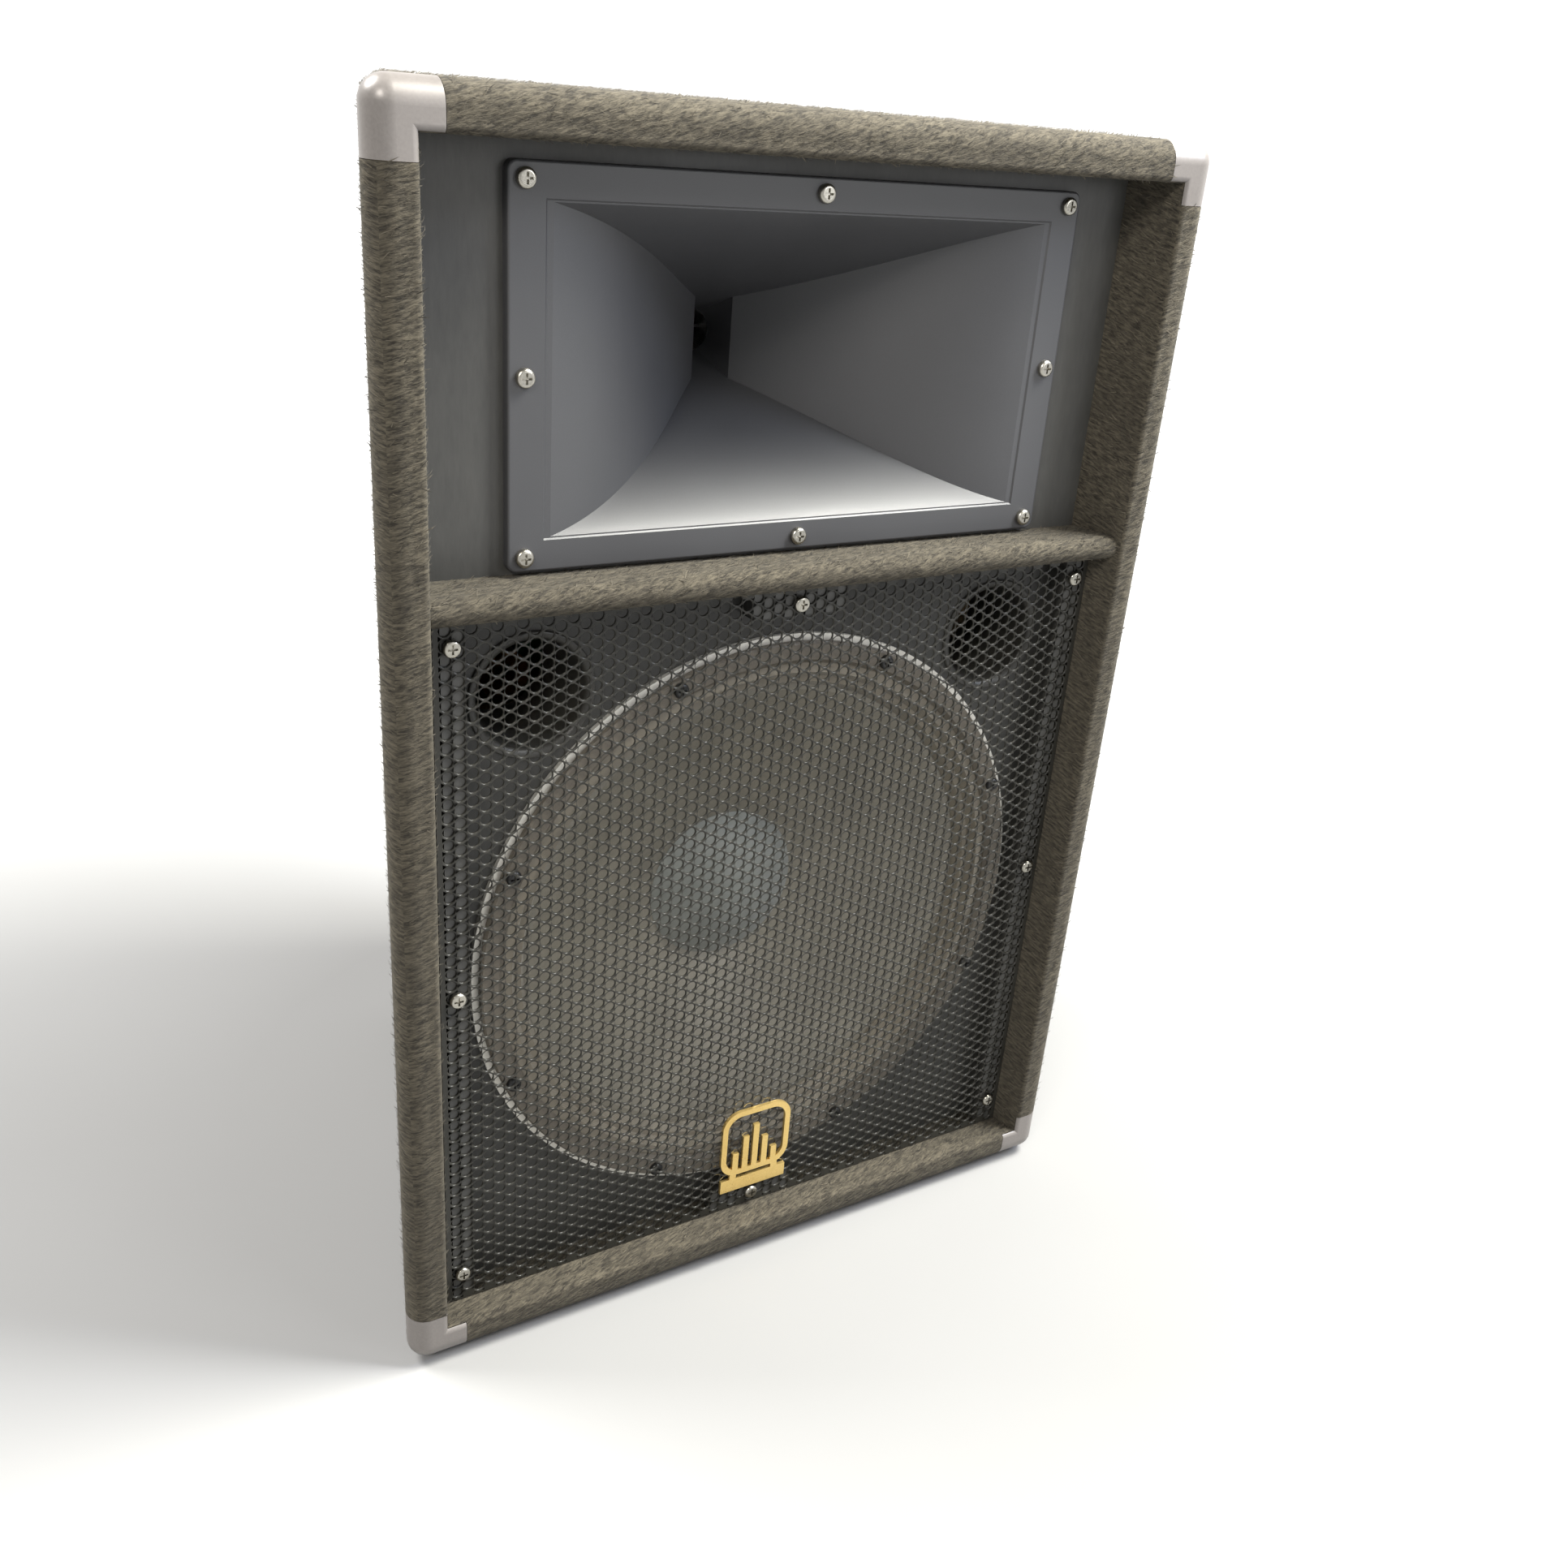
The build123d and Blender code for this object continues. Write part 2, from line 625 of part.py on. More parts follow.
with BuildPart() as woofer_gasket:
    outer = WOOFER_RADIUS - FRAME_RIM
    ring = [(174.5, -4), (174.5, -5.2), (177.3, -8), (outer - 1, -8), (outer, -7), (outer, -4)]
    revolve(profile(ring, WOOFER), axis=WOOFER_AXIS)
    with BuildSketch(front_plane(BAFFLE_FACE - 8, WOOFER_Z)):
        with PolarLocations(WOOFER_BOLT_RADIUS, 8, start_angle=22.5):
            Circle(2.8)
    extrude(amount=-4, mode=Mode.SUBTRACT)
finish(woofer_gasket, "woofer_gasket")

with BuildPart() as woofer_bolts:
    bolt = screw(4.5, 3.0, 2.4, 22)
    around = PolarLocations(WOOFER_BOLT_RADIUS, 8, start_angle=22.5).local_locations
    places = [place.position for place in around]
    with Locations(*[front_plane(BAFFLE_FACE - 8, WOOFER_Z + place.Y, place.X) for place in places]):
        add(bolt)
finish(woofer_bolts, "woofer_bolts")

with BuildPart() as woofer_top_plate:
    revolve(profile([(33.7, 87), (76, 87), (76, 95), (33.7, 95)], WOOFER), axis=WOOFER_AXIS)
finish(woofer_top_plate, "woofer_top_plate")

with BuildPart() as woofer_magnet:
    revolve(profile([(42, 95), (82, 95), (82, 115), (42, 115)], WOOFER), axis=WOOFER_AXIS)
finish(woofer_magnet, "woofer_magnet")

with BuildPart() as woofer_yoke:
    yoke = [(10, 86), (30.9, 86), (30.9, 115), (78, 115), (78, 124), (10, 124)]
    revolve(profile(yoke, WOOFER), axis=WOOFER_AXIS)
finish(woofer_yoke, "woofer_yoke")

TERMINAL_REAR = BAFFLE_FACE + 86
TERMINAL_Z = WOOFER_Z + 91.2

with BuildPart() as woofer_terminal:
    with Locations((0, TERMINAL_REAR - 8, TERMINAL_Z)):
        Box(28, 16, 10)
finish(woofer_terminal, "woofer_terminal")

with BuildPart() as woofer_cone:
    cone = [(COIL_RADIUS, 60), (152.6, 8), (156.3, 8), (156.3, 9.4), (153.2, 9.4), (COIL_RADIUS, 61.5)]
    revolve(profile(cone, WOOFER), axis=WOOFER_AXIS)
finish(woofer_cone, "woofer_cone")

with BuildPart() as woofer_dust_cap:
    revolve(dome_profile(DUST_CAP_RADIUS, 51.2, 17, 0.8, WOOFER), axis=WOOFER_AXIS)
finish(woofer_dust_cap, "woofer_dust_cap")

with BuildPart() as woofer_voice_coil:
    coil = [
        (31.6, 56), (COIL_RADIUS, 56), (COIL_RADIUS, 84), (33.0, 84), (33.0, 98), (COIL_RADIUS, 98),
        (COIL_RADIUS, 102), (31.6, 102),
    ]
    revolve(profile(coil, WOOFER), axis=WOOFER_AXIS)
finish(woofer_voice_coil, "woofer_voice_coil")

with BuildPart() as woofer_surround:
    rolls = wave_profile(156.6, 178, -3.8, 11.2, 6, 2, 3.6, 0.8, WOOFER)
    revolve(rolls, axis=WOOFER_AXIS)
finish(woofer_surround, "woofer_surround")

with BuildPart() as woofer_spider:
    revolve(wave_profile(33.0, 94, 65.2, 0, 10, 5, 3, 0.6, WOOFER), axis=WOOFER_AXIS)
finish(woofer_spider, "woofer_spider")

# ---------------------------------------------------------------- horn and compression driver


def flare(wall):
    """The flare's air space, thickened by wall on every side, from the mouth to the slot."""
    with BuildPart() as space:
        for depth, half_x, half_z in HORN_FLARE:
            with BuildSketch(front_plane(HORN_FACE + depth, HORN_Z)):
                Rectangle(2 * (half_x + wall), 2 * (half_z + wall))
        loft()
    return space.part


def throat(wall):
    """From the slot down to the round throat."""
    slot = HORN_FLARE[-1]
    with BuildPart() as space:
        with BuildSketch(front_plane(HORN_FACE + slot[0], HORN_Z)):
            Rectangle(2 * (slot[1] + wall), 2 * (slot[2] + wall))
        with BuildSketch(front_plane(HORN_FACE + HORN_THROAT_DEPTH, HORN_Z)):
            Circle(HORN_THROAT_RADIUS + wall)
        loft()
    return space.part


horn_screw_places = [(x, z) for x in (-1, 0, 1) for z in (-1, 0, 1) if (x, z) != (0, 0)]
horn_screw_places = [(x * HORN_SCREW_SPAN[0], z * HORN_SCREW_SPAN[1]) for x, z in horn_screw_places]

with BuildPart() as horn:
    with BuildSketch(front_plane(BAFFLE_FACE, HORN_Z)):
        RectangleRounded(*HORN_FLANGE, 5)
    extrude(amount=HORN_FLANGE_DEPTH)
    fillet(horn.faces().sort_by(Axis.Y)[0].edges(), 1.5)
    add(flare(HORN_WALL))
    add(throat(HORN_WALL))
    with BuildSketch(front_plane(DRIVER[1], HORN_Z)):
        Circle(38)
    extrude(amount=6)
    add(flare(0), mode=Mode.SUBTRACT)
    add(throat(0), mode=Mode.SUBTRACT)
    with BuildSketch(front_plane(HORN_FACE, HORN_Z)):
        Rectangle(2 * (HORN_FLARE[0][1] + HORN_MOUTH_EDGE), 2 * (HORN_FLARE[0][2] + HORN_MOUTH_EDGE))
    extrude(amount=-HORN_MOUTH_EDGE, taper=45, mode=Mode.SUBTRACT)
    with BuildSketch(front_plane(BAFFLE_FACE, HORN_Z)):
        with Locations(*horn_screw_places):
            Circle(2.6)
    extrude(amount=HORN_FLANGE_DEPTH, mode=Mode.SUBTRACT)
finish(horn, "horn")

with BuildPart() as horn_screws:
    horn_screw = screw(4.9, 3.2, 2.4, 22)
    with Locations(*[front_plane(HORN_FACE, HORN_Z + z, x) for x, z in horn_screw_places]):
        add(horn_screw)
finish(horn_screws, "horn_screws")

with BuildPart() as driver_pole_plate:
    pole = [(HORN_THROAT_RADIUS, 0), (52, 0), (52, 8), (21, 8), (21, 34), (18, 34)]
    revolve(profile(pole, DRIVER), axis=DRIVER_AXIS)
finish(driver_pole_plate, "driver_pole_plate")

with BuildPart() as driver_magnet:
    revolve(profile([(30, 8), (52, 8), (52, 28), (30, 28)], DRIVER), axis=DRIVER_AXIS)
finish(driver_magnet, "driver_magnet")

with BuildPart() as driver_top_plate:
    revolve(profile([(23.6, 28), (52, 28), (52, 34), (23.6, 34)], DRIVER), axis=DRIVER_AXIS)
finish(driver_top_plate, "driver_top_plate")

with BuildPart() as driver_phase_plug:
    revolve(profile([(0, 5), (2, 5), (14.5, 33), (8, 35), (0, 36)], DRIVER), axis=DRIVER_AXIS)
    with BuildSketch(front_plane(DRIVER[1] + 16, HORN_Z)):
        with PolarLocations(9, 3):
            Rectangle(13, 1.6)
    extrude(amount=-12)
finish(driver_phase_plug, "driver_phase_plug")

with BuildPart() as hf_diaphragm:
    revolve(profile([(21.7, 26), (22.9, 26), (22.9, 38), (21.7, 38)], DRIVER), axis=DRIVER_AXIS)
    revolve(dome_profile(22.9, 38, -8, 0.6, DRIVER), axis=DRIVER_AXIS)
finish(hf_diaphragm, "hf_diaphragm")

with BuildPart() as driver_back_cap:
    cup = [(43, 34), (47, 34), (47, 54), (41, 60), (0, 60), (0, 57), (39.8, 57), (43.5, 53)]
    revolve(profile(cup, DRIVER), axis=DRIVER_AXIS)
finish(driver_back_cap, "driver_back_cap")

# ---------------------------------------------------------------- ports

for side, name in SIDES:
    port = (side * PORT_X, BAFFLE_FACE, PORT_Z)
    tube = [
        (PORT_RADIUS, -2), (PORT_FLANGE, -2), (PORT_FLANGE, 0), (PORT_RADIUS + PORT_WALL, 0),
        (PORT_RADIUS + PORT_WALL, PORT_LENGTH), (PORT_RADIUS, PORT_LENGTH),
    ]
    with BuildPart() as port_tube:
        revolve(profile(tube, port), axis=Axis(port, (0, 1, 0)))
        fillet(port_tube.faces().sort_by(Axis.Y)[0].edges().sort_by(SortBy.RADIUS)[0], PORT_MOUTH)
        fillet(port_tube.faces().sort_by(Axis.Y)[0].edges().sort_by(SortBy.RADIUS)[-1], 1.2)
    finish(port_tube, f"port_tube_{name}")

# ---------------------------------------------------------------- grille and badge

GRILLE_FACE = FRONT + GRILLE_SETBACK
GRILLE_BACK = GRILLE_FACE + GRILLE_SHEET
grille_bottom = BASE + LINING + 1
grille_top = DIVIDER_Z - DIVIDER_CORE / 2 - CARPET - 1
grille_middle = (grille_bottom + grille_top) / 2
grille_screw_places = [(x, z) for x in (-GRILLE_SCREW_X, GRILLE_SCREW_X) for z in GRILLE_SCREW_Z]
grille_screw_places += [(0, z) for z in GRILLE_MIDDLE_Z]

with BuildPart() as grille:
    with BuildSketch(front_plane(GRILLE_BACK)):
        with Locations((0, grille_middle)):
            RectangleRounded(2 * GRILLE_HALF_WIDTH, grille_top - grille_bottom, 3)
        with Locations(*grille_screw_places):
            Circle(2.4, mode=Mode.SUBTRACT)
    extrude(amount=GRILLE_SHEET)
finish(grille, "grille")

with BuildPart() as grille_battens:
    with BuildSketch(front_plane(BAFFLE_FACE)):
        with Locations((-BATTEN_X, grille_middle), (BATTEN_X, grille_middle)):
            Rectangle(BATTEN_WIDTH, grille_top - grille_bottom - 4)
        with Locations(*[(0, z) for z in GRILLE_MIDDLE_Z]):
            Rectangle(60, 15)
    extrude(amount=BAFFLE_FACE - GRILLE_BACK)
finish(grille_battens, "grille_battens")

with BuildPart() as grille_screws:
    grille_screw = screw(4.8, 3.0, 2.0, 14)
    with Locations(*[front_plane(GRILLE_FACE, z, x) for x, z in grille_screw_places]):
        add(grille_screw)
finish(grille_screws, "grille_screws")

with BuildPart() as badge:
    with BuildSketch(front_plane(GRILLE_FACE, BADGE_Z)):
        RectangleRounded(52, 52, 13)
        RectangleRounded(44, 44, 10, mode=Mode.SUBTRACT)
        for place, level in enumerate((15, 27, 35, 23, 12)):
            with Locations((7.4 * (place - 2), -23 + level / 2)):
                Rectangle(4.4, level)
        with Locations((0, -34)):
            Rectangle(50, 10)
        with Locations((-16, -28), (16, -28)):
            Rectangle(5, 6)
    extrude(amount=BADGE_DEPTH)
finish(badge, "badge")

# ---------------------------------------------------------------- leads inside the cabinet


def lead(points, radius):
    """Round lead along straight runs, with each corner rounded as far as its two runs allow."""
    knots = [Vector(*point) for point in points]
    radii = []
    for before, corner, after in zip(knots, knots[1:], knots[2:]):
        turn = radians((corner - before).get_angle(after - corner))
        shorter = min((corner - before).length, (after - corner).length)
        radii.append(0.45 * shorter / tan(turn / 2))
    with BuildPart() as tube:
        with BuildLine() as path:
            FilletPolyline(*points, radius=radii)
        with BuildSketch(Plane(origin=points[0], z_dir=path.line % 0)):
            Circle(radius)
        sweep()
    return tube.part


WOOFER_LEAD = [
    (0, TERMINAL_REAR, TERMINAL_Z), (0, TERMINAL_REAR + 34, TERMINAL_Z), (12, 10, 330), (34, 70, 316),
    (44, 128, 310), (44, BOARD_FACE, 310),
]
DRIVER_LEAD = [
    (-44, BOARD_FACE, 340), (-44, 142, 340), (-42, 120, 368), (-30, 106, 430), (-14, 96, 496),
    (-3, 80, 552), (0, 56, HORN_Z), (0, DRIVER[1] + 60, HORN_Z),
]

with BuildPart() as internal_leads:
    add(lead(WOOFER_LEAD, 2.2))
    add(lead(DRIVER_LEAD, 2.2))
finish(internal_leads, "internal_leads")
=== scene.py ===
"""Looks for the two-way stage loudspeaker: materials, perforated grille, carpet pile, lights and camera.

Metres, in the CAD model's own frame: the front faces -Y and Z is up.
"""

import json
import math

import bpy
import numpy as np
from mathutils import Matrix, Vector
from mathutils.bvhtree import BVHTree


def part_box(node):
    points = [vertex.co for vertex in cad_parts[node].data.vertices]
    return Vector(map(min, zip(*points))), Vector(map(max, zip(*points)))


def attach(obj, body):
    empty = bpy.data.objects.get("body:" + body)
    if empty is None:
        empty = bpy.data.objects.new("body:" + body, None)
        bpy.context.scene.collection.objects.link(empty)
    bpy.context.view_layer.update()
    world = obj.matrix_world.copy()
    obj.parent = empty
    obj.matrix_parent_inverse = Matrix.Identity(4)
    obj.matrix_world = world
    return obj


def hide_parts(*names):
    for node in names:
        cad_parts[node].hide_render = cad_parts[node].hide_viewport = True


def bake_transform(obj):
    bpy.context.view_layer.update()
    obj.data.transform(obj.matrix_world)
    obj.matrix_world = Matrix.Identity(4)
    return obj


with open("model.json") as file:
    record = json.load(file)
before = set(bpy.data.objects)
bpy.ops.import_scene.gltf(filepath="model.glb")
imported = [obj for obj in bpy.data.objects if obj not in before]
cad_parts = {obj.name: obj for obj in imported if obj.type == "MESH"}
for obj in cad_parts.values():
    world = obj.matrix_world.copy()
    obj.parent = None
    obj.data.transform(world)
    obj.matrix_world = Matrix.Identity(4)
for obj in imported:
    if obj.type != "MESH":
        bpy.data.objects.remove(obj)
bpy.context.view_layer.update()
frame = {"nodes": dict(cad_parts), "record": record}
nodes = frame["nodes"]
slot_of = {entry["node"]: entry["material_slot"] for entry in frame["record"]["subparts"]}
random = np.random.default_rng(7)

# ---------------------------------------------------------------- node helpers


def add_node(tree, kind, inputs=None, **settings):
    """A shader node with its settings made and its inputs set to numbers or linked to outputs."""
    made = tree.nodes.new(kind)
    for key, value in settings.items():
        setattr(made, key, value)
    for key, value in (inputs or {}).items():
        if isinstance(value, bpy.types.NodeSocket):
            tree.links.new(value, made.inputs[key])
        else:
            made.inputs[key].default_value = value
    return made


def new_material(name, **shader_inputs):
    """A material with one Principled shader, whose constant inputs are set on its own sockets."""
    material = bpy.data.materials.new(name)
    material.use_nodes = True
    tree = material.node_tree
    shader = tree.nodes["Principled BSDF"]
    for key, value in shader_inputs.items():
        shader.inputs[key.replace("_", " ").title().replace("Ior", "IOR")].default_value = value
    return material, tree, shader


def place_vector(tree, scale=(1, 1, 1)):
    """Object coordinates, which are the row frame's metres, stretched by scale."""
    coords = add_node(tree, "ShaderNodeTexCoord")
    stretched = add_node(tree, "ShaderNodeMapping", {"Vector": coords.outputs["Object"], "Scale": scale})
    return stretched.outputs["Vector"]


def noise(tree, vector, scale, detail=3.0, rough=0.55, warp=0.0):
    """Noise between 0 and 1 at a number of features per metre."""
    made = add_node(tree, "ShaderNodeTexNoise", {
        "Vector": vector, "Scale": scale, "Detail": detail, "Roughness": rough, "Distortion": warp})
    return made.outputs["Fac"]


def span(tree, value, low, high, start=0.3, stop=0.7):
    """Value between start and stop mapped to low and high."""
    made = add_node(tree, "ShaderNodeMapRange", {
        "Value": value, "From Min": start, "From Max": stop, "To Min": low, "To Max": high})
    return made.outputs["Result"]


def blend_colour(tree, share, first, second):
    """Two colours, each a triple or an output, mixed by a share."""
    made = add_node(tree, "ShaderNodeMix", data_type="RGBA", blend_type="MIX")
    for socket, value in ((made.inputs[0], share), (made.inputs[6], first), (made.inputs[7], second)):
        if isinstance(value, bpy.types.NodeSocket):
            tree.links.new(value, socket)
        else:
            socket.default_value = (*value, 1) if isinstance(value, tuple) else value
    return made.outputs[2]


def combine(tree, operation, first, second):
    """Sum, product or other arithmetic of two values."""
    return add_node(tree, "ShaderNodeMath", {0: first, 1: second}, operation=operation).outputs[0]


def weighted(tree, first, first_weight, second, second_weight):
    """Sum of two values, each times its weight."""
    return combine(tree, "ADD", combine(tree, "MULTIPLY", first, first_weight),
                   combine(tree, "MULTIPLY", second, second_weight))


def ripples(tree, value, pitch):
    """Sine wave along a value that counts metres."""
    return combine(tree, "SINE", combine(tree, "MULTIPLY", value, math.tau / pitch), 0.0)


def radius_from(tree, coords, centre):
    """Distance from the depth axis through centre."""
    offset = add_node(tree, "ShaderNodeVectorMath", {0: coords, 1: centre}, operation="SUBTRACT").outputs[0]
    flat = add_node(tree, "ShaderNodeVectorMath", {0: offset, 1: (1, 0, 1)}, operation="MULTIPLY").outputs[0]
    return add_node(tree, "ShaderNodeVectorMath", {0: flat}, operation="LENGTH").outputs["Value"]


def bump(tree, height, strength, distance, under=None):
    """Normal from a height, on top of another bump where one is given."""
    inputs = {"Height": height, "Strength": strength, "Distance": distance}
    if under is not None:
        inputs["Normal"] = under
    return add_node(tree, "ShaderNodeBump", inputs).outputs["Normal"]


# ---------------------------------------------------------------- materials

WOOD_GRAIN = (1.0, 1.0, 0.06)
TUFT_SCALE = (150, 620, 1)
FUZZ_SCALE = (480, 2000, 1)
PAPER_RING_PITCH = 0.012


def surface(name, dark, light, rough=(0.4, 0.5), grain=300.0, stretch=(1, 1, 1), relief=0.00005,
            strength=0.4, patch=14.0, **shader_inputs):
    """Moulded, painted or metal surface: patchy colour, uneven gloss and a fine relief."""
    material, tree, shader = new_material(name, **shader_inputs)
    vector = place_vector(tree, stretch)
    broad = noise(tree, place_vector(tree), patch, 4.0)
    fine = noise(tree, vector, grain, 3.0)
    mixed = weighted(tree, broad, 0.6, fine, 0.4)
    colour = blend_colour(tree, span(tree, mixed, 0.0, 1.0), dark, light)
    tree.links.new(colour, shader.inputs["Base Color"])
    tree.links.new(span(tree, broad, rough[0], rough[1]), shader.inputs["Roughness"])
    tree.links.new(bump(tree, fine, strength, relief), shader.inputs["Normal"])
    return material


def plywood():
    """Birch plywood: long grain with growth bands."""
    material, tree, shader = new_material("birch_plywood", roughness=0.62)
    vector = place_vector(tree, WOOD_GRAIN)
    bands = noise(tree, vector, 90.0, 5.0, 0.6, 0.6)
    pores = noise(tree, vector, 900.0, 2.0)
    colour = blend_colour(tree, span(tree, bands, 0.0, 1.0), (0.52, 0.35, 0.19), (0.72, 0.55, 0.35))
    colour = blend_colour(tree, span(tree, pores, 0.35, 0.0, 0.3, 0.5), colour, (0.30, 0.18, 0.09))
    tree.links.new(colour, shader.inputs["Base Color"])
    tree.links.new(bump(tree, pores, 0.5, 0.0001), shader.inputs["Normal"])
    return material


def carpet():
    """Needle-punch carpet: matted fibres along the pile direction held in the mesh."""
    material, tree, shader = new_material(
        "carpet_felt", roughness=0.95, specular_ior_level=0.25, sheen_weight=0.04, sheen_roughness=0.5)
    shader.inputs["Sheen Tint"].default_value = (0.75, 0.72, 0.62, 1)
    pile = add_node(tree, "ShaderNodeAttribute", attribute_name="pile").outputs["Vector"]
    strands = add_node(tree, "ShaderNodeMapping", {"Vector": pile, "Scale": TUFT_SCALE}).outputs[0]
    fuzz = add_node(tree, "ShaderNodeMapping", {"Vector": pile, "Scale": FUZZ_SCALE}).outputs[0]
    tufts = noise(tree, strands, 1.0, 3.0, 0.6, 0.35)
    fibres = noise(tree, fuzz, 1.0, 2.0)
    patches = noise(tree, place_vector(tree), 22.0, 3.0)
    height = weighted(tree, tufts, 0.7, fibres, 0.3)
    colour = blend_colour(tree, span(tree, height, 0.0, 1.0, 0.38, 0.64), (0.016, 0.0138, 0.0105),
                          (0.084, 0.073, 0.053))
    colour = blend_colour(tree, span(tree, patches, 0.0, 0.35), colour, (0.026, 0.0225, 0.0175))
    tree.links.new(colour, shader.inputs["Base Color"])
    tree.links.new(bump(tree, height, 0.9, 0.0012), shader.inputs["Normal"])
    return material


def pile_fibre():
    """Loose fibres: each one has its own shade from dark to khaki."""
    material, tree, shader = new_material(
        "carpet_fibre", roughness=0.85, specular_ior_level=0.3, sheen_weight=0.02, sheen_roughness=0.5)
    shade = add_node(tree, "ShaderNodeAttribute", attribute_name="shade").outputs["Fac"]
    colour = blend_colour(tree, shade, (0.014, 0.0121, 0.0093), (0.105, 0.091, 0.067))
    tree.links.new(colour, shader.inputs["Base Color"])
    return material


def rings(name, dark, light, centre, pitch, rough=0.5, metallic=0.0, relief=0.0002):
    """Turned or wound surface: concentric rings about the depth axis through centre."""
    material, tree, shader = new_material(name, metallic=metallic)
    coords = add_node(tree, "ShaderNodeTexCoord").outputs["Object"]
    turns = ripples(tree, radius_from(tree, coords, centre), pitch)
    broad = noise(tree, coords, 40.0, 4.0)
    share = combine(tree, "ADD", span(tree, turns, 0.0, 0.5, -1.0, 1.0), span(tree, broad, 0.0, 0.5))
    tree.links.new(blend_colour(tree, share, dark, light), shader.inputs["Base Color"])
    tree.links.new(span(tree, broad, rough - 0.06, rough + 0.08), shader.inputs["Roughness"])
    tree.links.new(bump(tree, turns, 0.5, relief), shader.inputs["Normal"])
    return material


def woven(name, dark, light, pitch, relief=0.0002, rough=0.8, sheen=0.2):
    """Plain weave across the two axes of the front."""
    material, tree, shader = new_material(name, roughness=rough, sheen_weight=sheen)
    coords = add_node(tree, "ShaderNodeTexCoord").outputs["Object"]
    parts = add_node(tree, "ShaderNodeSeparateXYZ", {0: coords})
    waves = [ripples(tree, parts.outputs[i], pitch) for i in (0, 2)]
    weave = combine(tree, "MULTIPLY", waves[0], waves[1])
    broad = noise(tree, coords, 60.0, 4.0)
    share = combine(tree, "ADD", span(tree, weave, 0.0, 0.6, -1.0, 1.0), span(tree, broad, 0.0, 0.4))
    tree.links.new(blend_colour(tree, share, dark, light), shader.inputs["Base Color"])
    tree.links.new(bump(tree, weave, 0.5, relief), shader.inputs["Normal"])
    return material


def cone_paper(centre):
    """Pressed pulp: felted fibres with faint rings from the mould."""
    material, tree, shader = new_material("pressed_paper", specular_ior_level=0.8)
    coords = add_node(tree, "ShaderNodeTexCoord").outputs["Object"]
    fibres = noise(tree, coords, 520.0, 5.0, 0.7, 1.5)
    broad = noise(tree, coords, 26.0, 3.0)
    ripple = ripples(tree, radius_from(tree, coords, centre), PAPER_RING_PITCH)
    share = combine(tree, "ADD", span(tree, fibres, 0.0, 0.6), span(tree, broad, 0.0, 0.4))
    colour = blend_colour(tree, share, (0.115, 0.105, 0.082), (0.215, 0.196, 0.152))
    tree.links.new(colour, shader.inputs["Base Color"])
    tree.links.new(span(tree, broad, 0.34, 0.46), shader.inputs["Roughness"])
    under = bump(tree, ripple, 0.25, 0.0003)
    tree.links.new(bump(tree, fibres, 0.5, 0.00015, under), shader.inputs["Normal"])
    return material


woofer_low, woofer_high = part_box("woofer_basket")
woofer_centre = tuple((woofer_low + woofer_high) / 2)

